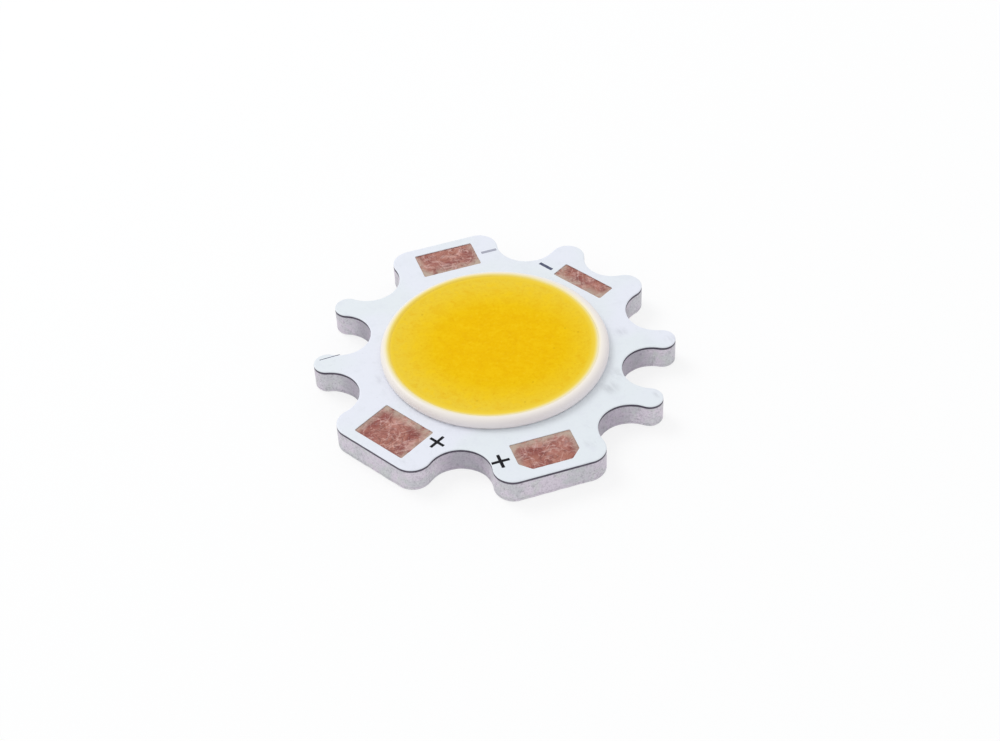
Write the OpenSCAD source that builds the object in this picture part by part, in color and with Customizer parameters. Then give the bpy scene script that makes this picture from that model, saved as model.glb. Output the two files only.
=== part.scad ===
// Chip-on-board LED on a round aluminium-core board with a notched, gear-like rim.
// Millimetres. The origin is the centre of the board's underside, +Z is the way the light leaves.
// The two screw notches lie on the X axis, the anode side is -Y and the cathode side is +Y.

/* [Board outline] */
// Diameter of the circle that every tooth tip and every wide lobe's flat edge touches
board_d = 20; // [19:0.5:26]
// Radius of the two screw notches
screw_notch_r = 1.65; // [1.2:0.05:2]
// Depth of the screw notches below the outer circle
screw_notch_depth = 2.9; // [2.4:0.1:3.2]
// Radius of the plain notches
plain_notch_r = 1.75; // [1.2:0.05:2]
// Depth of the plain notches below the outer circle
plain_notch_depth = 2.15; // [1.6:0.05:2.6]
// Radius of the shallow notch behind the narrow pad
shallow_notch_r = 1.6; // [1.2:0.05:2]
// Depth of the shallow notch below the outer circle
shallow_notch_depth = 1.35; // [1:0.05:1.8]
// Corner radius of the three wide lobes
lobe_corner_r = 1.1; // [0.6:0.1:1.4]

/* [Board layers] */
// Thickness of the aluminium base
base_t = 1.3; // [0.8:0.1:2]
// Thickness of the insulating film that bonds the copper to the base
dielectric_t = 0.09; // [0.06:0.01:0.15]
// Thickness of the copper foil
copper_t = 0.07; // [0.035:0.005:0.1]
// Thickness of the white solder mask over the copper
mask_t = 0.04; // [0.02:0.01:0.08]

/* [Solder pads] */
// Width of the bare copper windows along the rim
pad_w = 3.4; // [2.4:0.1:3.8]
// Distance from a wide lobe's flat edge to its pad window
pad_edge = 0.6; // [0.4:0.1:1]
// Depth of the large anode pad window
large_pad_depth = 2.5; // [1.5:0.1:2.6]
// Depth of the chamfered anode pad window
chamfered_pad_depth = 2.1; // [1.5:0.1:2.4]
// Corner chamfer of that window
pad_chamfer = 0.6; // [0.2:0.1:0.9]
// Depth of the cathode pad window on its wide lobe
lobe_cathode_depth = 1.95; // [1.5:0.05:2.4]
// Depth of the narrow cathode pad window
narrow_pad_depth = 1.15; // [0.8:0.05:1.3]
// Distance from the shallow notch's root to the narrow pad window
narrow_pad_edge = 0.46; // [0.3:0.02:0.7]
// How far the copper runs on under the mask around each pad window
pad_overlap = 0.15; // [0.1:0.05:0.25]
// Depth to which cleaning has scraped down the bare copper in the windows
pad_scrape = 0.01; // [0.005:0.005:0.02]

/* [Light-emitting area] */
// Diameter at the middle of the dam bead
dam_d = 11.9; // [9.9:0.1:12.8]
// Full width of the dam bead, which is round in section and sits on a flat foot
dam_w = 0.7; // [0.6:0.02:0.8]
// Height of the dam bead above the mask
dam_h = 0.6; // [0.45:0.01:0.65]
// Depth of the gel's edge below the top of the dam
gel_edge_drop = 0.06; // [0.03:0.01:0.1]
// Depth of the flat part of the gel below the top of the dam
gel_drop = 0.1; // [0.06:0.01:0.15]
// Width of the meniscus where the gel climbs the dam
meniscus_w = 0.5; // [0.3:0.05:0.8]
// Distance from the middle of the dam bead in to the edge of the central mask window
mask_setback = 0.55; // [0.45:0.05:0.7]

/* [Bus arcs] */
// Width of the copper arcs that the strings are bonded to
bus_w = 0.9; // [0.6:0.05:1.1]
// Width of their inner edge that the mask window leaves bare
bond_land_w = 0.4; // [0.3:0.05:0.5]
// Width of the insulating film that shows inside the copper arcs
film_edge = 0.1; // [0.05:0.01:0.15]
// Angle from the X axis to each end of the bus arcs
bus_end_angle = 15; // [10:1:30]

/* [Dies and wires] */
// Number of strings in parallel
string_count = 6; // [2:2:6]
// Number of dies in series in each string
dies_per_string = 9; // [3:1:9]
// Distance between neighbouring dies in the outermost strings, the shortest ones
die_pitch = 0.825; // [0.7:0.005:0.86]
// Length of a die along its string
die_l = 0.6; // [0.4:0.05:0.7]
// Width of a die
die_w = 0.35; // [0.25:0.05:0.5]
// Thickness of a die
die_t = 0.14; // [0.1:0.01:0.2]
// Thickness of the clear adhesive under a die
attach_t = 0.02; // [0.01:0.01:0.04]
// Width of the adhesive that shows around a die
attach_rim = 0.03; // [0.01:0.01:0.05]
// Clear space from the end dies to the edge of the insulating film
die_clearance = 0.1; // [0.05:0.01:0.3]
// Diameter of the gold bond wire
wire_d = 0.05; // [0.03:0.01:0.06]
// Distance from a die's end to its bond point
bond_inset = 0.12; // [0.08:0.01:0.15]
// Diameter of the flattened ball under each end of a wire
ball_d = 0.09; // [0.07:0.01:0.12]
// Height of that ball
ball_h = 0.02; // [0.01:0.01:0.04]

/* [Hidden] */
$fn = 96;
wire_fn = 13;

board_r = board_d / 2;
step = 30;  // the rim is laid out on twelve equal places
blend = 0.0002;  // touching arcs overlap by this much, so that they cross at one clean point

// What each place on the rim holds, counter-clockwise from the +X axis
rim = ["screw", "plain", "shallow", "plain", "lobe", "plain",
       "screw", "plain", "lobe", "plain", "lobe", "plain"];

z_film = base_t;
z_copper = z_film + dielectric_t;
z_cover = z_copper + copper_t;
z_top = z_cover + mask_t;
z_crest = z_top + dam_h;

dam_r = dam_d / 2;
mask_window_r = dam_r - mask_setback;
bus_in = mask_window_r - bond_land_w;
bus_out = bus_in + bus_w;
film_window_r = bus_in - film_edge;
bond_r = (bus_in + mask_window_r) / 2;
die_field_r = film_window_r - die_clearance;

// The outermost strings lie as far out as their length allows, and the rest between them.
end_row = (dies_per_string - 1) / 2 * die_pitch;
end_string_x = sqrt(die_field_r ^ 2 - (end_row + die_l / 2) ^ 2) - die_w / 2;
string_pitch = 2 * end_string_x / (string_count - 1);
z_die = z_film + attach_t;
z_die_top = z_die + die_t;

shallow_root = board_r - shallow_notch_depth;

// A pad is [place angle, inner radius, outer radius, corner chamfer]
large_pad = [240, board_r - pad_edge - large_pad_depth, board_r - pad_edge, 0];
chamfered_pad = [300, board_r - pad_edge - chamfered_pad_depth, board_r - pad_edge, pad_chamfer];
lobe_cathode_pad = [120, board_r - pad_edge - lobe_cathode_depth, board_r - pad_edge, 0];
narrow_pad = [60, shallow_root - narrow_pad_edge - narrow_pad_depth, shallow_root - narrow_pad_edge, 0];
anode_pads = [large_pad, chamfered_pad];
cathode_pads = [lobe_cathode_pad, narrow_pad];

// ---------- rim geometry ----------

function heading(a) = [cos(a), sin(a)];

function notch_r(kind) =
    kind == "screw" ? screw_notch_r : kind == "shallow" ? shallow_notch_r : plain_notch_r;
function notch_depth(kind) =
    kind == "screw" ? screw_notch_depth : kind == "shallow" ? shallow_notch_depth : plain_notch_depth;
function is_notch(i) = rim[i % 12] != "lobe";

// A circle is [centre, radius]
function notch(i) =
    let (kind = rim[i % 12], r = notch_r(kind))
    [(board_r - notch_depth(kind) + r) * heading(i * step), r];

// The tip of a tooth is the one circle that touches the notches on both sides
// from outside and the outer circle from inside.  Its centre is a + b r, and r
// solves |a + b r| = board_r - r.
function tip(i) =
    let (p = notch(i), q = notch(i + 1),
         m = p[0], n = q[0],
         det = 2 * (m.x * n.y - m.y * n.x),
         u = m * m - p[1] ^ 2 + board_r ^ 2,
         v = n * n - q[1] ^ 2 + board_r ^ 2,
         s = -2 * (p[1] + board_r),
         t = -2 * (q[1] + board_r),
         a = [u * n.y - v * m.y, v * m.x - u * n.x] / det,
         b = [s * n.y - t * m.y, t * m.x - s * n.x] / det,
         qa = b * b - 1,
         qb = a * b + board_r,
         qc = a * a - board_r ^ 2,
         root = sqrt(qb ^ 2 - qa * qc),
         r1 = (-qb - root) / qa,
         r2 = (-qb + root) / qa,
         r = r1 > 0 && (r2 < 0 || r1 < r2) ? r1 : r2)
    [a + b * r, r];

// A corner of a wide lobe touches the lobe's flat edge and the next notch on its side.
function lobe_corner(i, side) =
    let (q = notch(i + side + 12),
         along = board_r - lobe_corner_r,
         reach = norm(q[0]),
         across = reach * sin(step)
             - sqrt((q[1] + lobe_corner_r) ^ 2 - (along - reach * cos(step)) ^ 2),
         u = heading(i * step))
    [along * u + side * across * [-u.y, u.x], lobe_corner_r];

// Straight lines join the centres of touching circles, so they pass through
// the points where one arc hands over to the next.
function rim_points(i) =
    is_notch(i)
        ? [notch(i)[0], if (is_notch(i + 1)) tip(i)[0]]
        : let (c = lobe_corner(i, -1)[0], d = lobe_corner(i, 1)[0], out = lobe_corner_r * heading(i * step))
          [c, c + out, d + out, d];

module disc(circle_data, extra = 0) {
    translate(circle_data[0]) circle(r = circle_data[1] + extra);
}

module board_outline() {
    difference() {
        union() {
            polygon([for (i = [0 : 11]) each rim_points(i)]);
            for (i = [0 : 11])
                if (is_notch(i) && is_notch(i + 1)) disc(tip(i), blend);
            for (i = [0 : 11], side = [-1, 1])
                if (!is_notch(i)) disc(lobe_corner(i, side), blend);
        }
        for (i = [0 : 11])
            if (is_notch(i)) disc(notch(i));
    }
}

// ---------- copper layout ----------

module pad_shape(pad, grow = 0) {
    inner = pad[1] - grow;
    outer = pad[2] + grow;
    half = pad_w / 2 + grow;
    cut = pad[3];
    rotate(pad[0])
        polygon(cut > 0
            ? [[inner, -half], [outer - cut, -half], [outer, cut - half],
               [outer, half - cut], [outer - cut, half], [inner, half]]
            : [[inner, -half], [outer, -half], [outer, half], [inner, half]]);
}

module foil_shape(pads, turn) {
    reach = 2 * bus_out;
    intersection() {
        difference() {
            circle(r = bus_out);
            circle(r = bus_in);
        }
        polygon([[0, 0], for (a = [bus_end_angle, 90, 180 - bus_end_angle]) reach * heading(a + turn)]);
    }
    for (pad = pads) {
        pad_shape(pad, pad_overlap);
        rotate(pad[0])
            translate([(bus_in + bus_out) / 2, -pad_w / 2])
                square([pad[1] - (bus_in + bus_out) / 2, pad_w]);
    }
}

module anode_foil() foil_shape(anode_pads, 180);
module cathode_foil() foil_shape(cathode_pads, 0);

// A sheet of foil, scraped down where its pad windows bare it
module scraped_foil(pads) {
    translate([0, 0, z_copper])
        difference() {
            linear_extrude(copper_t) children();
            for (pad = pads)
                translate([0, 0, copper_t - pad_scrape]) linear_extrude(mask_t) pad_shape(pad);
        }
}

// ---------- board parts ----------

module base_plate() {
    color("#b9b6bd") linear_extrude(base_t) board_outline();
}

module dielectric_layer() {
    color("#6f6a72")
        translate([0, 0, z_film])
            linear_extrude(dielectric_t)
                difference() {
                    board_outline();
                    circle(r = film_window_r);
                }
}

module anode_copper() {
    color("#b0786c") scraped_foil(anode_pads) anode_foil();
}

module cathode_copper() {
    color("#a5705f") scraped_foil(cathode_pads) cathode_foil();
}

module solder_mask() {
    color("#e9ebf3") {
        translate([0, 0, z_copper])
            linear_extrude(copper_t)
                difference() {
                    board_outline();
                    circle(r = mask_window_r);
                    anode_foil();
                    cathode_foil();
                }
        translate([0, 0, z_cover])
            linear_extrude(mask_t)
                difference() {
                    board_outline();
                    circle(r = mask_window_r);
                    for (pad = concat(anode_pads, cathode_pads)) pad_shape(pad);
                }
    }
}

// ---------- dies ----------

function string_x(k) = (k - (string_count + 1) / 2) * string_pitch;
function row_end(k) = sqrt(die_field_r ^ 2 - (abs(string_x(k)) + die_w / 2) ^ 2) - die_l / 2;
function die_y(k, i) = row_end(k) * (2 * i / (dies_per_string - 1) - 1);

module on_each_die(k) {
    for (i = [0 : dies_per_string - 1])
        translate([string_x(k), die_y(k, i), 0]) children();
}

module die_attach() {
    color("#d8d8cc")
        for (k = [1 : string_count])
            on_each_die(k)
                translate([-die_w / 2 - attach_rim, -die_l / 2 - attach_rim, z_film])
                    cube([die_w + 2 * attach_rim, die_l + 2 * attach_rim, attach_t]);
}

module die_string(k) {
    color("#8fb4d9")
        on_each_die(k)
            translate([-die_w / 2, -die_l / 2, z_die]) cube([die_w, die_l, die_t]);
}

// ---------- bond wires ----------

// A half loop of wire that stands in the YZ plane on a flattened ball at each end
module bond_wire(from, to) {
    top = max(from.y, to.y) + ball_h;
    translate([0, (from.x + to.x) / 2, top])
        rotate([90, 0, 90])
            rotate_extrude(angle = 180, $fn = 2 * wire_fn)
                translate([(to.x - from.x) / 2, 0]) circle(d = wire_d, $fn = wire_fn);
    for (foot = [from, to])
        translate([0, foot.x, foot.y]) cylinder(h = top - foot.y, d = ball_d, $fn = wire_fn);
}

module bond_wires(k) {
    bond_y = die_l / 2 - bond_inset;
    bus_y = sqrt(bond_r ^ 2 - string_x(k) ^ 2);
    last = dies_per_string - 1;
    color("#d9a93a")
        translate([string_x(k), 0, 0]) {
            bond_wire([-bus_y, z_cover], [die_y(k, 0) - bond_y, z_die_top]);
            for (i = [1 : last])
                bond_wire([die_y(k, i - 1) + bond_y, z_die_top], [die_y(k, i) - bond_y, z_die_top]);
            bond_wire([die_y(k, last) + bond_y, z_die_top], [bus_y, z_cover]);
        }
}

// ---------- dam and gel ----------

// Section of the dam bead: a round bead cut flat where it sits on the mask
module dam_section() {
    intersection() {
        translate([dam_r, z_crest - dam_w / 2]) circle(d = dam_w);
        translate([0, z_top]) square([dam_r + dam_w, dam_w]);
    }
}

module dam_ring() {
    color("#ece6df") rotate_extrude() dam_section();
}

module gel_body() {
    z_flat = z_crest - gel_drop;
    edge_r = dam_r - sqrt((dam_w / 2) ^ 2 - (dam_w / 2 - gel_edge_drop) ^ 2);
    flat_r = edge_r - meniscus_w;
    slope = (gel_drop - gel_edge_drop) / meniscus_w;
    translate([0, 0, z_film]) cylinder(h = dielectric_t, r = film_window_r);
    translate([0, 0, z_copper])
        linear_extrude(copper_t)
            difference() {
                circle(r = mask_window_r);
                anode_foil();
                cathode_foil();
            }
    translate([0, 0, z_cover]) cylinder(h = mask_t, r = mask_window_r);
    rotate_extrude()
        difference() {
            polygon([[0, z_top], [dam_r, z_top], [dam_r, z_flat + slope * (dam_r - flat_r)],
                     [flat_r, z_flat], [0, z_flat]]);
            dam_section();
        }
}

module phosphor_gel() {
    color("#f1c21b")
        difference() {
            gel_body();
            die_attach();
            for (k = [1 : string_count]) {
                die_string(k);
                bond_wires(k);
            }
        }
}

base_plate();
dielectric_layer();
anode_copper();
cathode_copper();
solder_mask();
die_attach();
for (k = [1 : string_count]) {
    die_string(k);
    bond_wires(k);
}
dam_ring();
phosphor_gel();
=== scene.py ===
# %% [markdown]
# # A chip-on-board LED
# The object is a small round circuit board: a punched aluminium plate, a thin dark film, copper
# foil, a white mask with four windows, and a disc of yellow phosphor gel inside a white bead.
# The solids come from the frame. This file gives them their looks, and rebuilds the pieces whose
# edges and skins are too soft or too irregular for plain solids: sheared metal, dispensed
# silicone, cured gel. Blender counts in metres. The numbers here are in millimetres, and become
# metres at the last step of each piece.

# %% Load the frame
import cmath
import math

import bmesh
import bpy
import numpy as np
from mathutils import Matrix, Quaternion, Vector, noise


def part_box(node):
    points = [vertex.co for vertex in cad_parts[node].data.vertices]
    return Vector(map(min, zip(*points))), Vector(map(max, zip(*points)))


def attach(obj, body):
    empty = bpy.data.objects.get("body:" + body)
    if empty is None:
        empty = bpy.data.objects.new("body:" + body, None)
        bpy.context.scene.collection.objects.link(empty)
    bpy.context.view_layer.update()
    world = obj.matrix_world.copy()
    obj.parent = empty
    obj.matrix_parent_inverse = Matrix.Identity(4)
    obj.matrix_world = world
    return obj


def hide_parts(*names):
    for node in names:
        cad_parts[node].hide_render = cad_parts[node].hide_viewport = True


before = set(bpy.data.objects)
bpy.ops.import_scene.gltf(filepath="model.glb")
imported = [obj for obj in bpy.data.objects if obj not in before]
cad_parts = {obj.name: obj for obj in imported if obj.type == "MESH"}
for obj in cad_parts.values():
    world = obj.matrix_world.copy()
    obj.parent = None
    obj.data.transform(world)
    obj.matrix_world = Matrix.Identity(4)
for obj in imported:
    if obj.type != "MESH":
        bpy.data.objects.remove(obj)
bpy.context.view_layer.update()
scene = bpy.context.scene
mm = 0.001

# %% [markdown]
# ## Heights and radii
# Every height is read from the solid that sets it, so a thicker film or a taller bead in the part
# moves everything above it here as well. The bead's own width and the steps inside it are typed.

# %% Heights and radii
def top_of(node):
    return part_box(node)[1].z / mm


z_film = top_of("base_plate")
z_copper = top_of("dielectric_layer")
z_cover = top_of("anode_copper")
z_top = top_of("solder_mask")
z_crest = top_of("dam_ring")
bead_w = 0.7
bead_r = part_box("dam_ring")[1].x / mm - bead_w / 2
mask_window_r = bead_r - 0.55
film_window_r = bead_r - 1.05
# Out to the flat edge of the wide lobe that lies 120 degrees round from +X
board_r = max(v.co.y * math.sin(math.radians(60)) - v.co.x / 2
              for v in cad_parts["base_plate"].data.vertices) / mm
print(f"board radius {board_r:.2f}, mask top {z_top:.2f}")
print(f"bead radius {bead_r:.2f}, crest {z_crest:.2f}")

# %% [markdown]
# ## Shader arithmetic
# A procedural finish is a sum of masks, and masks are easier to read as `1 - edge * dirt` than as
# a chain of nodes. The class below wraps one output socket. Arithmetic on it adds Math nodes, and
# its `node` method adds a node of any other kind.

# %% Shader arithmetic
class Wire:
    """One output inside a material: arithmetic on it adds Math nodes."""

    def __init__(self, tree, socket=None):
        self.tree = tree
        self.socket = socket

    def node(self, kind, settings=None, inputs=None, out=0):
        """Add a node of this kind, fill its settings, then its sockets, and return an output."""
        made = self.tree.nodes.new("ShaderNode" + kind)
        for name, value in (settings or {}).items():
            if name == "stops":
                while len(made.color_ramp.elements) < len(value):
                    made.color_ramp.elements.new(1)
                for stop, (at, colour) in zip(made.color_ramp.elements, value):
                    stop.position = at
                    stop.color = colour
            else:
                setattr(made, name, value)
        for key, value in (inputs or {}).items():
            if isinstance(value, Wire):
                self.tree.links.new(value.socket, made.inputs[key])
            else:
                made.inputs[key].default_value = value
        return Wire(self.tree, made.outputs[out] if made.outputs else None)

    def math(self, operation, a, b=0.0):
        return self.node("Math", {"operation": operation}, {0: a, 1: b})

    def __add__(self, other):
        return self.math("ADD", self, other)

    def __sub__(self, other):
        return self.math("SUBTRACT", self, other)

    def __rsub__(self, other):
        return self.math("SUBTRACT", other, self)

    def __mul__(self, other):
        return self.math("MULTIPLY", self, other)

    def __abs__(self):
        return self.math("ABSOLUTE", self)

    __radd__ = __add__
    __rmul__ = __mul__


def rgb(red, green, blue):
    """A paint chip's colour, 0 to 255, turned into the linear light that shaders use."""
    def linear(v):
        v = v / 255
        return v / 12.92 if v <= 0.04045 else ((v + 0.055) / 1.055) ** 2.4
    return (linear(red), linear(green), linear(blue), 1.0)


print("a mid grey chip is", [round(v, 3) for v in rgb(128, 128, 128)[:3]])

# %% [markdown]
# The words that the finishes below are written in. `place` is a point on the piece in
# millimetres, `cloud` is soft noise, `step` turns a range of values into 0 to 1 with soft ends,
# `paint` lays one colour over another, `spot` is a soft round patch, and `relief` turns a height
# in millimetres into a bump.

# %% Words for finishes
def place(wire):
    at = wire.node("TexCoord", out="Object")
    return wire.node("VectorMath", {"operation": "SCALE"}, {"Vector": at, "Scale": 1 / mm})


def axes(where):
    parts = where.node("SeparateXYZ", None, {"Vector": where}).socket.node.outputs
    return [Wire(where.tree, part) for part in parts]


def turned(where, degrees):
    """The same place, seen by someone who faces that way along the board."""
    return where.node("VectorRotate", {"rotation_type": "Z_AXIS"}, {
        "Vector": where, "Angle": -math.radians(degrees)})


def squeezed(where, x, y, z):
    return where.node("VectorMath", {"operation": "MULTIPLY"}, {0: where, 1: (x, y, z)})


def cloud(where, per_mm, detail=2.0, rough=0.5, warp=0.0):
    return where.node("TexNoise", None, {
        "Vector": where, "Scale": per_mm, "Detail": detail, "Roughness": rough, "Distortion": warp})


def step(value, low, high):
    return value.node("MapRange", {"interpolation_type": "SMOOTHSTEP"}, {
        "Value": value, "From Min": low, "From Max": high})


def between(value, low, high, soft):
    return step(value, low - soft, low + soft) * (1 - step(value, high - soft, high + soft))


def paint(under, cover, over):
    """over, laid on under where cover is 1."""
    wire = next(v for v in (cover, under, over) if isinstance(v, Wire))
    return wire.node("Mix", {"data_type": "RGBA"}, {0: cover, 6: under, 7: over}, 2)


def spot(where, x, y, radius):
    """1 at a point of the board, falling to 0 at that distance."""
    flat = squeezed(where, 1, 1, 0)
    apart = where.node("VectorMath", {"operation": "DISTANCE"}, {0: flat, 1: (x, y, 0)}, "Value")
    return 1 - step(apart, 0.0, radius)


def radius(where):
    return where.node("VectorMath", {"operation": "LENGTH"}, {0: squeezed(where, 1, 1, 0)}, "Value")


def relief(height):
    return height.node("Bump", None, {"Height": height * mm, "Distance": 1.0})


def finish(name, build):
    """Make a material. build gets a wire and the place, and returns the shader's socket values."""
    material = bpy.data.materials.new(name)
    material.use_nodes = True
    material.node_tree.nodes.clear()
    wire = Wire(material.node_tree)
    shader = wire.node("BsdfPrincipled", None, build(wire, place(wire)))
    wire.node("OutputMaterial", None, {"Surface": shader})
    print(name, len(material.node_tree.nodes), "nodes")
    return material


# %% [markdown]
# ## The rim
# The board is punched in one stroke by a tool with twelve places round it: nine notches and three
# wide lobes that carry solder pads. A row of straight lines would do from far away, but the
# tool is ground from circles, so the rim is laid out as circles that touch: notches, tooth tips
# that fit between two notches and the outer circle, and lobe corners. Complex numbers keep this
# short, because multiplying by one turns a point round the board.

# %% Rim circles
places = "screw plain shallow plain lobe plain screw plain lobe plain lobe plain".split()
notch_sizes = {"screw": (1.65, 2.9), "plain": (1.75, 2.15), "shallow": (1.6, 1.35)}
corner_r = 1.1


def heading(degrees):
    return cmath.rect(1, math.radians(degrees))


def notch(i):
    notch_r, depth = notch_sizes[places[i % 12]]
    return (board_r - depth + notch_r) * heading(30 * i), notch_r


def tooth_tip(i):
    """The circle that touches both notches from outside and the outer circle from inside."""
    (m, p), (n, q) = notch(i), notch(i + 1)
    grid = 2 * np.array([[m.real, m.imag], [n.real, n.imag]])
    fixed = [abs(c) ** 2 - s * s + board_r ** 2 for c, s in ((m, p), (n, q))]
    a = complex(*np.linalg.solve(grid, fixed))
    b = complex(*np.linalg.solve(grid, [-2 * (s + board_r) for s in (p, q)]))
    across = (a.conjugate() * b).real + board_r
    sizes = np.roots([abs(b) ** 2 - 1, 2 * across, abs(a) ** 2 - board_r ** 2])
    tip_r = min(r for r in sizes if r > 0)
    return a + b * tip_r, tip_r


def lobe_corner(i, side):
    """The circle that touches the lobe's flat edge and the notch beside it."""
    centre, notch_r = notch(i + side)
    along = board_r - corner_r
    reach = abs(centre)
    rise = math.sqrt((notch_r + corner_r) ** 2 - (along - reach * math.cos(math.radians(30))) ** 2)
    across = reach * math.sin(math.radians(30)) - rise
    return complex(along, side * across) * heading(30 * i), corner_r


circles = []  # centre, radius, and +1 where the metal is inside the circle, -1 round a notch
for i, kind in enumerate(places):
    if kind == "lobe":
        circles += [(*lobe_corner(i, -1), 1), (*lobe_corner(i, 1), 1)]
    else:
        circles.append((*notch(i), -1))
        if places[(i + 1) % 12] != "lobe":
            circles.append((*tooth_tip(i), 1))
print(len(circles), "circles round the rim, tooth tips of",
      sorted({round(float(r), 2) for _, r, side in circles if side > 0}), "mm radius")

# %% [markdown]
# Walking round the circles gives the rim as closely spaced points, and beside each point the
# direction that faces outwards. With that direction every wall below can be drawn as the same
# rim moved in by a little, which is how a punched edge, a rounded mask and a burr are all made.

# %% Rim points
def handover(first, second):
    """The outward direction where one circle passes the rim on to the next."""
    (a, _, a_side), (b, _, b_side) = first, second
    if a_side == b_side:
        return -1j * (b - a) / abs(b - a)
    return a_side * (b - a) / abs(b - a)


def walk_rim(gap):
    at, out = [], []
    for k, circle in enumerate(circles):
        following = circles[(k + 1) % len(circles)]
        centre, circle_r, side = circle
        start = cmath.phase(handover(circles[k - 1], circle))
        end = cmath.phase(handover(circle, following))
        sweep = side * ((end - start) * side % (2 * math.pi))
        count = max(3, round(abs(sweep) * circle_r / gap))
        for j in range(count):
            out.append(cmath.rect(1, start + sweep * j / count))
            at.append(centre + side * circle_r * out[-1])
        if following[2] == side:
            flat = handover(circle, following)
            a, b = centre + circle_r * flat, following[0] + circle_r * flat
            count = round(abs(b - a) / gap)
            at += [a + (b - a) * j / count for j in range(count)]
            out += [flat] * count
    return np.array(at), np.array(out)


rim_at, rim_out = walk_rim(0.1)
plate = [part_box("base_plate")[k] / mm for k in (0, 1)]
print(len(rim_at), "rim points; box is off the plate's by at most",
      round(max(abs(rim_at.real.max() - plate[1].x), abs(rim_at.imag.max() - plate[1].y),
                abs(rim_at.real.min() - plate[0].x), abs(rim_at.imag.min() - plate[0].y)), 4), "mm")

# %% [markdown]
# ## Skins
# Sculpting or modifiers would hide the numbers, so each piece is built ring by ring. A `wall`
# joins rings of as many points with quads, and a `cap` fills the flat area between any closed
# rings, holes included. The last step turns all faces outwards and makes millimetres into metres.

# %% Skins
class Skin:
    """A closed surface made of rings of points in mm."""

    def __init__(self):
        self.mesh = bmesh.new()

    def ring(self, at, z):
        heights = np.broadcast_to(z, len(at))
        return [self.mesh.verts.new((p.real, p.imag, h)) for p, h in zip(at, heights)]

    def wall(self, rings):
        for low, high in zip(rings, rings[1:]):
            for k in range(len(low)):
                self.mesh.faces.new((low[k - 1], low[k], high[k], high[k - 1])).smooth = True

    def cap(self, *loops):
        edges = []
        for loop in loops:
            for k in range(len(loop)):
                pair = (loop[k - 1], loop[k])
                edges.append(self.mesh.edges.get(pair) or self.mesh.edges.new(pair))
        bmesh.ops.triangle_fill(self.mesh, use_beauty=True, edges=edges)

    def fan(self, ring, centre_z):
        hub = self.mesh.verts.new((0, 0, centre_z))
        for k in range(len(ring)):
            self.mesh.faces.new((ring[k - 1], ring[k], hub)).smooth = True

    def piece(self, name, material, slot, *nodes):
        """Close the piece, dress it, and say which CAD nodes it stands for."""
        bmesh.ops.recalc_face_normals(self.mesh, faces=self.mesh.faces)
        bmesh.ops.scale(self.mesh, vec=(mm, mm, mm), verts=self.mesh.verts)
        open_edges = sum(not edge.is_manifold for edge in self.mesh.edges)
        data = bpy.data.meshes.new(name)
        self.mesh.to_mesh(data)
        self.mesh.free()
        data.materials.append(material)
        made = bpy.data.objects.new(name, data)
        scene.collection.objects.link(made)
        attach(made, "root")
        if nodes:
            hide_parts(*nodes)
        print(f"{name}: {len(data.polygons)} faces, {open_edges} open edges")
        return made


def rough(at, z, per_mm, seed):
    """Smooth noise from -1 to 1 at each point of a ring."""
    heights = np.broadcast_to(z, len(at))
    return np.array([noise.noise(Vector((p.real * per_mm, p.imag * per_mm, h + 7 * seed)))
                     for p, h in zip(at, heights)])


def circle(circle_r, count):
    return circle_r * np.exp(2j * np.pi * np.arange(count) / count)


print("noise at three points:", rough(circle(1, 3), 0, 2, 1).round(4).tolist())

# %% [markdown]
# ## Aluminium base
# The plate is cold-rolled aluminium. The punch leaves a wall in zones: a rounded edge where the
# metal first bent, a smooth burnished band, and a torn, frosted band. A texture alone would leave
# the wall's edge dead straight, so the tear is moved in the mesh, and the finish adds fine
# streaks along the punch's travel, grey and lilac patches, and rolling lines on the underside.
# The finish also paints shade into the wall's colour: a dark band along the groove, a darker
# foot where the wall meets the table, and darker, more lilac walls deep in the notches.

# %% Aluminium finish
def sheared_aluminium(wire, where):
    z = axes(where)[2]
    up = abs(axes(wire.node("NewGeometry", out="Normal"))[2])
    wall = 1 - step(up, 0.35, 0.8)
    patches = cloud(where, 0.7, 3, 0.6, 0.6)
    frost = cloud(where, 9.0, 3, 0.7)
    streaks = cloud(squeezed(where, 1, 1, 0.1), 7.0, 2, 0.6)
    rolled = cloud(squeezed(where, 0.08, 1, 1), 14.0, 3, 0.6)
    grey = paint(rgb(206, 206, 211), step(patches, 0.38, 0.6), rgb(221, 213, 224))
    grey = paint(grey, step(cloud(where, 1.9, 2), 0.5, 0.68) * 0.5, rgb(208, 213, 210))
    grey = paint(grey, step(frost, 0.5, 0.7) * 0.45, rgb(156, 148, 160))
    grey = paint(grey, (1 - step(frost, 0.3, 0.46)) * 0.35, rgb(236, 234, 239))
    grey = paint(grey, step(cloud(where, 4.0, 2), 0.6, 0.72) * 0.35, rgb(144, 136, 150))
    grey = paint(grey, step(streaks, 0.55, 0.8) * 0.25, rgb(240, 238, 243))
    # painted shade: a darker band along the groove at 0.18 mm
    grey = paint(grey, between(z, 0.15, 0.21, 0.03) * 0.25, rgb(160, 156, 166))
    # painted shadow: the wall darker at its foot, where it meets the table
    grey = paint(grey, (1 - step(z, 0.0, 0.07)) * 0.5, rgb(136, 130, 142))
    # painted shade: walls deep in the notches darker and more lilac
    grey = paint(grey, (1 - step(radius(where), 7.9, 9.0)) * 0.45, rgb(146, 136, 154))
    flat = paint(rgb(196, 197, 200), step(rolled, 0.4, 0.7), rgb(214, 215, 218))
    return {
        "Base Color": paint(flat, wall, grey),
        "Metallic": 0.6 + 0.2 * step(patches, 0.35, 0.65),
        "Roughness": 0.4 + wall * 0.12 + frost * 0.2,
        "Normal": relief(frost * 0.02 * wall + streaks * 0.02 * wall + rolled * 0.004),
    }


aluminium = finish("sheared_aluminium", sheared_aluminium)

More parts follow.
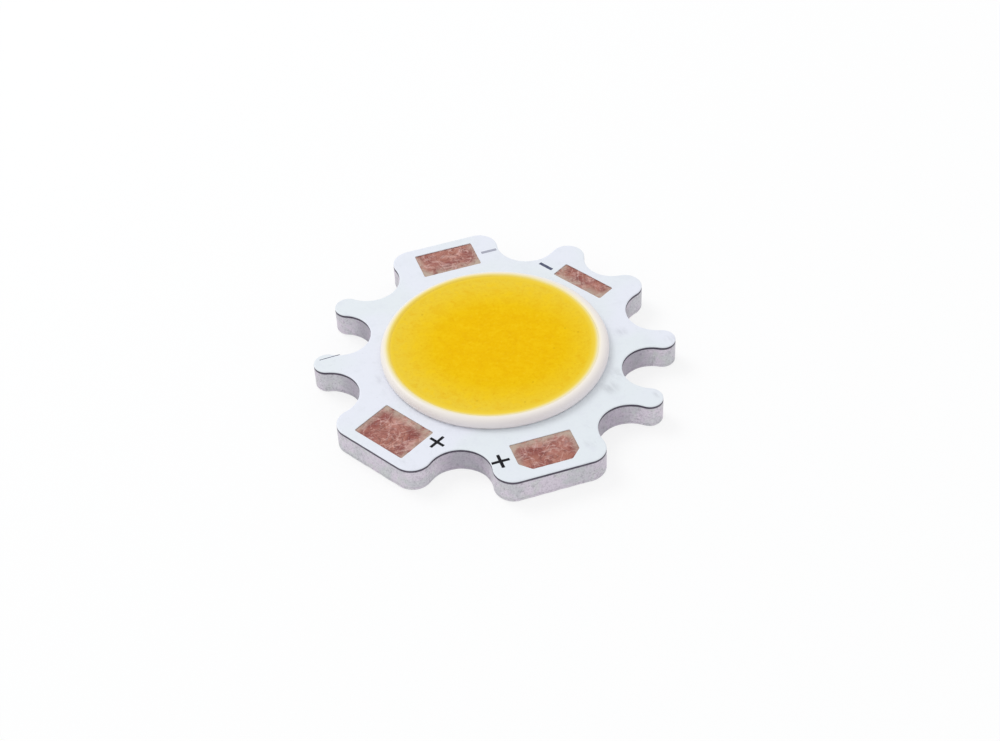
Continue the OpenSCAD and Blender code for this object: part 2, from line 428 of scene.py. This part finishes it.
# %% Aluminium base
def punched_wall(z):
    """How far the sheared wall lies inside the rim at this height, before the tear."""
    burr = np.interp(z, [0, 0.004, 0.02, 0.06], [0.09, 0.045, 0.015, 0.002])
    groove = 0.014 * math.exp(-((z - 0.18) / 0.03) ** 2)
    return float(burr) + groove


base = Skin()
rows = []
near_foot = [0, 0.004, 0.02, 0.06, 0.1, 0.14, 0.16, 0.18, 0.2, 0.24]  # closest round the groove
for z in (*near_foot, *np.arange(0.3, z_film - 0.05, 0.09), z_film - 0.03, z_film):
    torn = 0.014 * float(np.interp(z, [0.05, 0.15, 0.7, 0.85], [0.2, 1, 1, 0.25]))
    inset = punched_wall(z) + torn * (0.5 + 0.5 * rough(rim_at, z * 1.3, 4.0, 1))
    inset += 0.004 * (1 + rough(rim_at, z * 6, 11.0, 2))
    inset += 0.03 * float(np.interp(z, [0, 0.12], [1, 0])) * (1 + rough(rim_at, 0, 1.6, 9))
    rows.append(base.ring(rim_at - rim_out * inset, z))
base.wall(rows)
base.cap(rows[0])
base.cap(rows[-1])
base.piece("aluminium_base", aluminium, "aluminium_base", "base_plate")

# %% [markdown]
# ## Insulating film
# Between metal and copper lies a sheet of resin full of ceramic powder. Only its cut edge shows,
# as a thin line round the whole rim, so it needs a cut edge that wanders a little and a
# dark, faintly violet finish with pale grains. The punch smeared metal over its lower half, so
# the finish fades to grey there.

# %% Insulating film
def resin_film(wire, where):
    grains = cloud(where, 16.0, 2, 0.7)
    depth = cloud(where, 1.1, 2)
    colour = paint(rgb(58, 48, 70), step(depth, 0.38, 0.66), rgb(84, 74, 92))
    smeared = 1 - step(axes(where)[2], z_film, z_film + 0.055)
    colour = paint(colour, smeared * 0.75, rgb(168, 162, 174))
    return {
        "Base Color": paint(colour, step(grains, 0.55, 0.75) * 0.35, rgb(140, 132, 146)),
        "Roughness": 0.5 + grains * 0.25,
        "Normal": relief(grains * 0.01),
    }


film = Skin()
rings = []
for z in (z_film, (z_film + z_copper) / 2, z_copper):
    wander = 0.012 + 0.006 * rough(rim_at, z * 9, 5.0, 3)
    rings.append(film.ring(rim_at - rim_out * wander, z))
film.wall(rings)
hole = [film.ring(circle(film_window_r, 240), z) for z in (z_film, z_copper)]
film.wall(hole)
film.cap(rings[0], hole[0])
film.cap(rings[-1], hole[1])
film.piece("insulating_film", finish("resin_film", resin_film),
           "dielectric_film", "dielectric_layer")

# %% [markdown]
# ## Where the windows are
# The mask's windows are where the copper is scraped down, so their corners are read from the
# copper solids. A screen-printed window has small round corners and edges that waver by a few
# hundredths of a millimetre.

# %% Pad windows
pad_nodes = {240: "anode_copper", 300: "anode_copper", 120: "cathode_copper", 60: "cathode_copper"}


def window_corners(degrees):
    """Corners of one scraped face, seen from its pad: real outwards, imaginary along the rim."""
    found = set()
    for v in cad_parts[pad_nodes[degrees]].data.vertices:
        x, y, z = v.co / mm
        seen = complex(x, y) * heading(-degrees)
        if z_copper + 0.02 < z < z_cover - 0.002 and abs(cmath.phase(seen)) < math.radians(30):
            found.add(complex(round(seen.real, 3), round(seen.imag, 3)))
    middle = sum(found) / len(found)
    return sorted(found, key=lambda c: cmath.phase(c - middle))


def softened(corners, corner, gap):
    """A closed outline through these corners, each rounded, with a point at every gap."""
    outline = []
    for k, here in enumerate(corners):
        back, ahead = corners[k - 1], corners[(k + 1) % len(corners)]
        start = here + corner * (back - here) / abs(back - here)
        end = here + corner * (ahead - here) / abs(ahead - here)
        outline += [(1 - t) ** 2 * start + 2 * t * (1 - t) * here + t * t * end
                    for t in np.linspace(0, 1, 6)]
        reach = ahead + corner * (here - ahead) / abs(here - ahead)
        count = max(1, round(abs(reach - end) / gap))
        outline += [end + (reach - end) * j / count for j in range(1, count)]
    return np.array(outline)


def outward(outline):
    chord = np.roll(outline, -1) - np.roll(outline, 1)
    return -1j * chord / abs(chord)


windows = {degrees: window_corners(degrees) for degrees in pad_nodes}
for degrees, corners in windows.items():
    print(f"pad at {degrees}: {len(corners)} corners, from {min(c.real for c in corners):.2f}",
          f"to {max(c.real for c in corners):.2f} mm out")

# %% [markdown]
# ## White mask
# The mask is a printed white lacquer, about 40 microns thick, that has been handled: it has an
# even satin skin, a faint orange peel, a softly rolled edge at the rim, and grey rubbed marks
# here and there. Real edge rolls catch the light as a thin line, so the roll is real geometry.
# Dirt is painted as soft spots broken up by noise, each at its own place on the board. The
# foot of the cut edge is painted dark as shade, which widens the film's dark line below it.

# %% Mask finish
rubbed = [  # x, y, reach, strength
    (5.98, 0.4, 0.55, 0.45), (6.73, -2.0, 0.8, 0.3), (6.98, -0.83, 0.8, 0.2),
    (6.07, -4.93, 0.5, 0.3), (6.44, -6.25, 0.6, 0.25), (6.62, 2.59, 0.6, 0.2),
    (9.4, 2.43, 0.5, 0.2), (9.4, -2.04, 0.45, 0.3), (-5.84, -3.29, 0.6, 0.25),
    (-3.12, -9.3, 0.5, 0.2)]


def white_lacquer(wire, where):
    drift = cloud(where, 0.22, 2)
    peel = cloud(where, 3.2, 2, 0.5)
    fine = cloud(where, 14.0, 2, 0.6)
    dust = cloud(where, 5.0, 4, 0.7, 0.8)
    white = paint(rgb(234, 237, 247), step(drift, 0.4, 0.6), rgb(231, 237, 242))
    white = paint(white, step(cloud(where, 1.3, 3, 0.6), 0.5, 0.75) * 0.5, rgb(225, 229, 238))
    grime = 0.1 * step(dust, 0.56, 0.78)
    smear = cloud(squeezed(turned(where, 35), 1, 0.35, 1), 2.4, 4, 0.6, 0.3)
    for x, y, reach, strength in rubbed:
        grime = grime + spot(where, x, y, reach) * strength * step(smear, 0.4, 0.66)
    white = paint(white, grime, rgb(128, 128, 138))
    # painted shade: the lower part of the cut edge, nearly as dark as the film below it
    cut_foot_shade = 1 - step(axes(where)[2], z_top - 0.062, z_top - 0.044)
    return {
        "Base Color": paint(white, cut_foot_shade, rgb(66, 56, 76)),
        "Roughness": 0.38 + 0.14 * drift + 0.3 * grime,
        "Normal": relief(peel * 0.006 + fine * 0.0006),
    }


lacquer = finish("white_lacquer", white_lacquer)

# %% White mask
mask = Skin()
roll = [(0.006, z_copper), (0.003, z_cover - 0.03), (0.006, z_top - 0.034), (0.015, z_top - 0.017),
        (0.033, z_top - 0.006), (0.062, z_top - 0.0015), (0.12, z_top)]
waver = 0.006 * (1 + rough(rim_at, 0, 2.5, 4))
outer = [mask.ring(rim_at - rim_out * (inset + waver), z) for inset, z in roll]
mask.wall(outer)

window_roll = [(0, z_cover), (0.002, z_top - 0.02), (0.009, z_top - 0.009),
               (0.02, z_top - 0.002), (0.034, z_top)]
lips, sills = [], []
for degrees, corners in windows.items():
    edge = softened(corners, 0.09, 0.08) * heading(degrees)
    edge = edge + outward(edge) * 0.008 * rough(edge, 0, 3.0, degrees)
    lip = [mask.ring(edge + outward(edge) * grow, z) for grow, z in window_roll]
    mask.wall(lip)
    sills.append(lip[0])
    lips.append(lip[-1])
hole = [mask.ring(circle(mask_window_r, 240), z) for z in (z_cover, z_top)]
mask.wall(hole)
mask.cap(outer[-1], hole[1], *lips)

# %% [markdown]
# Under the lacquer the copper needs room. A single hollow does it: the disc that the bus arcs
# fill, with an arm out to each pad. Its outline is walked like the rim, as arcs of the disc
# between the arms' corners.

# %% Hollow for the copper
hollow = []
disc_r = bead_r - 0.04
spare = 0.16  # how far the hollow reaches past a window, where the foil runs on under the mask
for degrees in sorted(windows):
    half = max(abs(c.imag) for c in windows[degrees]) + spare
    far = max(c.real for c in windows[degrees]) + spare
    near = math.sqrt(disc_r ** 2 - half ** 2)
    arm = (complex(near, -half), complex(far, -half), complex(far, half), complex(near, half))
    hollow += [c * heading(degrees) for c in arm]
    start = degrees + math.degrees(math.atan2(half, near))
    following = sorted(windows)[(sorted(windows).index(degrees) + 1) % 4]
    half = max(abs(c.imag) for c in windows[following]) + spare
    end = following + (360 if following < degrees else 0) - math.degrees(math.asin(half / disc_r))
    count = max(3, round((end - start) / 3))
    hollow += [disc_r * heading(a) for a in np.linspace(start, end, count)[1:-1]]
room = [mask.ring(hollow, z) for z in (z_copper, z_cover)]
mask.wall(room)
mask.cap(room[1], hole[0], *sills)
mask.cap(outer[0], room[0])
mask.piece("white_mask", lacquer, "white_mask", "solder_mask")

# %% [markdown]
# ## Copper in the windows
# The foil keeps its own solid: its shape is right, and it lies inside the mask's hollow. What
# makes it look real is the finish. Bare copper is scrubbed with an abrasive pad before packing,
# which leaves curled dark and pale scratches, and it has begun to tarnish: brick red in the
# middle, with a tan-grey haze of resin along the side near the bead and at both ends. Each
# scratch is the thin line where a stretched noise passes through its middle value.

# %% Copper finish
def scrubbed_copper(wire, where):
    mottle = cloud(where, 1.1, 3, 0.6, 0.4)
    red = step(cloud(where, 0.7, 2, 0.5, 0.5), 0.4, 0.62)
    colour = paint(rgb(166, 108, 93), step(mottle, 0.35, 0.65), rgb(178, 122, 110))
    colour = paint(colour, red * 0.85, rgb(136, 70, 65))
    swirl = step(cloud(where, 2.6, 3, 0.6, 1.0), 0.56, 0.7)
    colour = paint(colour, swirl * 0.5, rgb(196, 160, 158))
    for turn, per_mm, seed_z, tone, most in (
            (15, 0.9, 0.0, (226, 190, 182), 0.4), (60, 1.2, 3.0, (104, 50, 48), 0.5),
            (110, 0.8, 6.0, (232, 200, 194), 0.4), (155, 1.3, 9.0, (92, 44, 44), 0.45),
            (85, 2.4, 12.0, (214, 178, 168), 0.35)):
        lane = squeezed(turned(where, turn), 1, 0.5, 1)
        lane = lane.node("VectorMath", {"operation": "ADD"}, {0: lane, 1: (0, 0, seed_z)})
        crest = 1 - abs(cloud(lane, per_mm, 2, 0.5, 1.8) - 0.5) * 22
        broken = step(cloud(lane, 3.1, 2), 0.36, 0.56)
        colour = paint(colour, step(crest, 0.1, 1.0) * broken * most, rgb(*tone))
    haze = window_edge_shade = 0.0
    for degrees, corners in windows.items():
        out, along, _ = axes(turned(where, degrees))
        near, far = min(c.real for c in corners), max(c.real for c in corners)
        inside = between(out, near - 0.3, far + 0.3, 0.02) * (1 - step(abs(along), 1.85, 1.95))
        edge = (1 - step(out, near, near + 0.7)) + 0.8 * step(abs(along), 1.2, 1.75)
        haze = haze + inside * edge
        # where the mask's step meets the copper on each window's side towards the board's rim
        window_edge_shade = window_edge_shade + inside * step(out, far - 0.13, far - 0.04)
    haze = haze * step(cloud(where, 2.2, 3, 0.6, 0.5), 0.25, 0.6)
    colour = paint(colour, haze * 0.9, rgb(188, 170, 156))
    # painted shade: a thin darker line along that side, beside the mask's step
    colour = paint(colour, window_edge_shade * 0.2, rgb(112, 78, 74))
    return {
        "Base Color": colour,
        "Metallic": 0.35 + 0.25 * mottle,
        "Roughness": 0.5 + 0.2 * mottle + 0.1 * haze,
        "Normal": relief(cloud(squeezed(where, 1, 0.3, 1), 9.0, 3, 0.6, 1.2) * 0.012),
    }


def dress(material, *nodes):
    """Give carried-over solids a finish."""
    for node in nodes:
        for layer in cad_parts[node].material_slots:
            layer.material = material
    print(material.name, "on", ", ".join(nodes))


dress(finish("scrubbed_copper", scrubbed_copper), "anode_copper", "cathode_copper")

# %% [markdown]
# ## Silicone bead
# The bead that holds the gel is white silicone, laid down by a needle that travels once round, so
# its section is round and its path and height waver very slightly. A turned profile with a
# little noise in radius and height gives that. It is milky: on the inside the yellow of the gel
# shines through it, and it turns cream, then white, towards its outer foot. The yellow ran a
# little to one side, so bead and gel share one ramp of colours about a centre of its own.

# %% Bead finish
def yellow_reach(where):
    """Distance from the middle of the yellow, which ran a little off the bead's own centre."""
    apart = where.node("VectorMath", {"operation": "DISTANCE"}, {
        0: squeezed(where, 1, 1, 0), 1: (-0.16, 0.065, 0)}, "Value")
    return apart + (cloud(where, 0.9, 2) - 0.5) * 0.06


def yellow_edge(wire, where):
    """Yellow, cream and milky white, in this order across the line where the gel meets the bead."""
    return wire.node("ValToRGB", {"stops": [
        (0.0, rgb(244, 209, 56)), (0.2, rgb(244, 212, 74)), (0.3, rgb(245, 224, 128)),
        (0.4, rgb(245, 233, 190)), (0.55, rgb(243, 236, 226)), (1.0, rgb(238, 231, 232))]},
        {"Fac": yellow_reach(where) - 5.45})


def milky_silicone(wire, where):
    z = axes(where)[2]
    soft = cloud(where, 0.9, 2)
    # the lowest 0.2 mm of the bead: painted shade there, and dirt along the foot
    low = 1 - step(z, z_top, z_top + 0.2)
    grime = step(cloud(where, 2.6, 3, 0.7, 0.5), 0.5, 0.76) * low
    grime = grime + spot(where, 0.62, -6.3, 0.45) * low
    # painted shade: the bead greyer towards its foot
    colour = paint(yellow_edge(wire, where), low * 0.3, rgb(186, 178, 184))
    return {
        "Base Color": paint(colour, grime * 0.35, rgb(150, 144, 150)),
        "Roughness": 0.3 + 0.15 * soft,
        "Specular IOR Level": 0.35,
        "Normal": relief(cloud(where, 2.5, 2) * 0.01 + cloud(where, 12.0, 2) * 0.0008),
    }


# %% Silicone bead
around = 480
bead_z = z_crest - bead_w / 2
foot = math.asin((z_top - bead_z) / (bead_w / 2))


def bead_ring(skin, angle, inside=0.0):
    """A ring on the bead's round skin: angle runs from the inner foot over the crest."""
    unit = circle(1, around)
    wander = 0.012 * rough(unit, 0, 2.4, 5) + 0.004 * rough(unit, 0, 9.0, 6)
    sink = 0.014 * (0.5 + 0.5 * rough(unit, 0, 3.1, 7))
    bead = bead_w / 2 - inside
    out = bead_r + wander - bead * math.cos(angle)
    up = bead_z + bead * math.sin(angle)
    return skin.ring(unit * out, up - sink * max(0.0, (up - z_top) / (z_crest - z_top)))


bead = Skin()
arc = [bead_ring(bead, a) for a in np.linspace(foot, math.pi - foot, 25)]
bead.wall([*arc, arc[0]])
bead.piece("silicone_bead", finish("milky_silicone", milky_silicone), "white_silicone", "dam_ring")

# %% [markdown]
# ## Phosphor gel
# Clear silicone mixed with phosphor powder is poured inside the bead, over the dies, and cured.
# It climbs the bead a little, and dips by a few microns where it shrank over the dies. The
# powder settles, so the colour is a deep egg yellow over the dies and paler towards the edge, with
# fine grains and a few dark specks. Yellow this strong shows almost no blue, so any white
# reflection on it would look like dust: the specular level is set low and the roughness high.

# %% Gel finish
specks = [(3.6, 1.89), (3.29, 0.17), (4.37, 1.67), (2.65, -2.69),
          (2.51, -4.3), (-0.04, -4.61), (-4.48, 1.78)]


def phosphor(wire, where):
    out = wire.node("VectorMath", {"operation": "DISTANCE"}, {
        0: squeezed(where, 1, 1.1, 0), 1: (0.3, 0, 0)}, "Value")
    out = out + (cloud(where, 0.45, 3, 0.6) - 0.5) * 0.5
    depth = wire.node("ValToRGB", {"stops": [
        (0.0, rgb(244, 193, 0)), (0.46, rgb(244, 194, 0)), (0.63, rgb(243, 197, 8)),
        (0.8, rgb(243, 203, 36)), (1.0, rgb(241, 207, 60))]}, {"Fac": out * (1 / 5.8)})
    grain = cloud(where, 5.0, 5, 0.8)
    clots = cloud(where, 1.5, 3, 0.6, 0.4)
    colour = paint(depth, step(grain, 0.5, 0.7) * 0.45, rgb(253, 214, 44))
    colour = paint(colour, (1 - step(grain, 0.3, 0.5)) * 0.5, rgb(226, 168, 0))
    colour = paint(colour, step(clots, 0.5, 0.68) * 0.35, rgb(250, 207, 20))
    colour = paint(colour, (1 - step(clots, 0.32, 0.5)) * 0.3, rgb(236, 180, 0))
    colour = paint(colour, step(yellow_reach(where), 5.35, 5.55), yellow_edge(wire, where))
    dark = 0.0
    for x, y in specks:
        dark = dark + spot(where, x, y, 0.1)
    return {
        "Base Color": paint(colour, dark * 0.3, rgb(160, 122, 10)),
        "Roughness": 0.6 + 0.15 * clots,
        "Specular IOR Level": 0.04,
        "Normal": relief(grain * 0.006 + clots * 0.01),
    }


# %% Phosphor gel
gel = Skin()
contact = math.asin((z_crest - 0.06 - bead_z) / (bead_w / 2))
edge_r = bead_r - bead_w / 2 * math.cos(contact)
floor_rings = [gel.ring(circle(r, around), z) for r, z in (
    (film_window_r, z_film), (film_window_r, z_cover),
    (mask_window_r, z_cover), (mask_window_r, z_top))]
bead_rings = [bead_ring(gel, a, 0.012) for a in np.linspace(foot, contact, 9)]
surface = []
for drop in (0.04, 0.1, 0.18, 0.28, 0.4, 0.55, 0.75, 1.0, 1.4, 1.9, 2.5, 3.1, 3.7, 4.3, 4.9, 5.3):
    at = circle(edge_r - drop, around)
    climb = 0.04 * max(0.0, 1 - drop / 0.5) ** 2
    level = z_crest - 0.1 + climb - 0.008 * min(1.0, drop) * (0.5 + 0.5 * rough(at, 0, 0.5, 8))
    surface.append(gel.ring(at, level - 0.008 * max(0.0, 1 - drop / 0.5)))
gel.wall([*floor_rings, *bead_rings, *surface])
gel.fan(surface[-1], z_crest - 0.104)
gel.cap(floor_rings[0])
gel.piece("phosphor_gel_disc", finish("phosphor_gel", phosphor),
          "phosphor_silicone", "phosphor_gel")

# %% [markdown]
# ## Inside the gel
# The dies, their adhesive and their gold wires are buried, and keep their own solids. They still
# get real finishes, because someone may lift the gel off: sapphire dies look bluish with dark
# electrode lines, the adhesive is a clear film, and drawn gold wire is bright with faint rings.

# %% Buried finishes
def sapphire_die(wire, where):
    x = axes(where)[0]
    lines = between(abs(x.math("PINGPONG", x, 0.12) - 0.06), 0.0, 0.008, 0.004)
    haze = cloud(where, 5.0, 2)
    blue = paint(rgb(150, 178, 208), haze, rgb(122, 152, 190))
    return {"Base Color": paint(blue, lines * 0.6, rgb(196, 168, 96)),
            "Roughness": 0.15 + 0.1 * haze}


def die_adhesive(wire, where):
    haze = cloud(where, 6.0, 3)
    return {"Base Color": paint(rgb(222, 221, 208), haze, rgb(204, 204, 190)),
            "Roughness": 0.2 + 0.25 * haze}


def drawn_gold(wire, where):
    rings = cloud(where, 40.0, 2)
    return {"Base Color": paint(rgb(232, 186, 92), rings, rgb(214, 160, 66)), "Metallic": 1.0,
            "Roughness": 0.16 + 0.14 * rings}


def nodes_called(start):
    return sorted(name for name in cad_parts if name.startswith(start))


dress(finish("sapphire_die", sapphire_die), *nodes_called("die_string"))
dress(finish("die_adhesive", die_adhesive), "die_attach")
dress(finish("drawn_gold", drawn_gold), *nodes_called("bond_wires"))

# %% [markdown]
# ## Printed marks
# The board carries plain polarity marks: two plus signs on the anode side, two minus signs on the
# cathode side, and a faint tick on one tooth. They are screen-printed ink, so each one is a thin
# raised film with softened ends and a slightly ragged edge, just a few microns high. The ink is
# worn thin where it was rubbed, and the minus signs were printed in a paler grey.

# %% Ink finish
def ink(colour, worn_colour):
    def worn_ink(wire, where):
        worn = step(cloud(where, 9.0, 3, 0.7), 0.5, 0.8)
        return {"Base Color": paint(colour, worn * 0.4, worn_colour), "Roughness": 0.4 + 0.3 * worn,
                "Specular IOR Level": 0.15,
                "Normal": relief(cloud(where, 20.0, 2) * 0.003)}
    return worn_ink


black_ink = finish("black_ink", ink(rgb(6, 6, 14), rgb(30, 32, 44)))
slate_ink = finish("slate_ink", ink(rgb(84, 88, 112), rgb(128, 132, 150)))
grey_ink = finish("grey_ink", ink(rgb(170, 172, 186), rgb(202, 204, 214)))


# %% Printed marks
def print_mark(name, corners, material, degrees=0.0, centre=0.0):
    """Ink inside these corners, given as seen from a pad, at a centre in front of that pad."""
    edge = softened([(c + centre) * heading(degrees) for c in corners], 0.025, 0.05)
    edge = edge + outward(edge) * 0.008 * rough(edge, 0, 9.0, len(name))
    mark = Skin()
    rings = [mark.ring(edge - outward(edge) * inset, z)
             for inset, z in ((0, z_top - 0.002), (0, z_top + 0.002), (0.008, z_top + 0.004))]
    mark.wall(rings)
    mark.cap(rings[0])
    mark.cap(rings[-1])
    mark.piece(name, material, "printed_ink")


def bar(length, stroke, turn=0.0):
    """Corners of a straight stroke, along the rim unless turned."""
    half, thin = length / 2, stroke / 2
    ends = (complex(-thin, -half), complex(thin, -half), complex(thin, half), complex(-thin, half))
    return [c * heading(turn) for c in ends]


def plus(out, along, stroke):
    a, b, s = out / 2, along / 2, stroke / 2
    turns = [(a, -s), (a, s), (s, s), (s, b), (-s, b), (-s, s),
             (-a, s), (-a, -s), (-s, -s), (-s, -b), (s, -b), (s, -s)]
    return [complex(*c) for c in turns]


print_mark("plus_mark_1", plus(1.02, 0.96, 0.17), black_ink, 240, 7.32 + 2.35j)
print_mark("plus_mark_2", plus(1.0, 1.0, 0.18), black_ink, 300, 8.27 - 2.5j)
print_mark("minus_mark_1", bar(0.92, 0.2), grey_ink, 120, 8.3 - 2.45j)
print_mark("minus_mark_2", bar(0.92, 0.2), slate_ink, 60, 7.29 + 2.48j)
tick_from, tick_to = complex(-9.41, -2.22), complex(-8.4, -1.59)
tick_turn = math.degrees(cmath.phase(tick_to - tick_from)) - 90
print_mark("tick_mark", bar(abs(tick_to - tick_from), 0.05, tick_turn),
           slate_ink, 0, (tick_from + tick_to) / 2)

# %% [markdown]
# ## Light, floor and background
# The board lies on a pale table in a white room. The room gives even light from all sides, and one
# broad lamp behind the left shoulder gives the walls and the bead a little shape. What the camera
# sees of the room, also in shiny metal, is plain white: Light Path tells those rays apart
# from the ones that carry light. The floor is part emission for the same rays, so that it
# reads as white paper and still keeps the board's soft shadow.

# %% Room
def seen_directly(wire):
    """1 for what is looked at, straight or in a reflection, and 0 for light on its way."""
    rays = wire.node("LightPath").socket.node.outputs
    return Wire(wire.tree, rays["Is Camera Ray"]) + Wire(wire.tree, rays["Is Glossy Ray"]) \
        + Wire(wire.tree, rays["Is Transmission Ray"])


room_world = bpy.data.worlds.new("white_room")
room_world.use_nodes = True
room_world.node_tree.nodes.clear()
room_light = 0.78
air = Wire(room_world.node_tree)
lit = air.node("Background", None, {"Color": rgb(253, 254, 255), "Strength": room_light})
shown = air.node("Background", None, {"Color": (1, 1, 1, 1), "Strength": 1.0})
both = air.node("MixShader", None, {0: seen_directly(air), 1: lit, 2: shown})
air.node("OutputWorld", None, {"Surface": both})
scene.world = room_world

paper = bpy.data.materials.new("paper")
paper.use_nodes = True
paper.node_tree.nodes.clear()
sheet = Wire(paper.node_tree)
matt = sheet.node("BsdfDiffuse", None, {"Color": (1, 1, 1, 1)})
bright = sheet.node("Emission", None, {"Color": (1, 1, 1, 1), "Strength": 1.0})
glow = seen_directly(sheet) * 0.75
both = sheet.node("MixShader", None, {0: glow, 1: matt, 2: bright})
sheet.node("OutputMaterial", None, {"Surface": both})

table = Skin()
table.cap(table.ring(np.array([-900 - 900j, 900 - 900j, 900 + 900j, -900 + 900j]), -0.02))
ground = bpy.data.meshes.new("floor")
bmesh.ops.scale(table.mesh, vec=(mm, mm, mm), verts=table.mesh.verts)
table.mesh.to_mesh(ground)
table.mesh.free()
ground.materials.append(paper)
floor = bpy.data.objects.new("floor", ground)
scene.collection.objects.link(floor)

lamp_data = bpy.data.lights.new("lamp", "AREA")
lamp_data.shape, lamp_data.size, lamp_data.energy = "DISK", 0.28, 0.74
lamp = bpy.data.objects.new("lamp", lamp_data)
lamp.location = (-0.30, 0.16, 0.38)
lamp.rotation_mode = "QUATERNION"
lamp.rotation_quaternion = lamp.location.to_track_quat("Z", "Y")
scene.collection.objects.link(lamp)
print("room", room_light, "and lamp", lamp_data.energy, "W at", round(lamp.location.length, 3), "m")

# %% [markdown]
# ## Camera
# A long lens from about twelve centimetres, a little over forty degrees above the table and just
# to the right of the board's front, rolled by three degrees.

# %% Camera
lens = bpy.data.cameras.new("camera")
lens.lens, lens.sensor_width, lens.clip_start = 79.2, 36, 0.01
camera = bpy.data.objects.new("camera", lens)
azimuth, elevation, roll_angle = (math.radians(a) for a in (13.1, 42.48, -2.96))
aim, distance = Vector((0.22, 0.05, 0.01)), 122.16
level = math.cos(elevation)
back = Vector((math.sin(azimuth) * level, -math.cos(azimuth) * level, math.sin(elevation)))
camera.location = (aim + back * distance) * mm
camera.rotation_mode = "QUATERNION"
camera.rotation_quaternion = (-back).to_track_quat("-Z", "Y") @ Quaternion((0, 0, 1), roll_angle)
scene.collection.objects.link(camera)
scene.camera = camera
scene.view_settings.view_transform = "Standard"
print("camera at", [round(v / mm, 1) for v in camera.location], "mm")
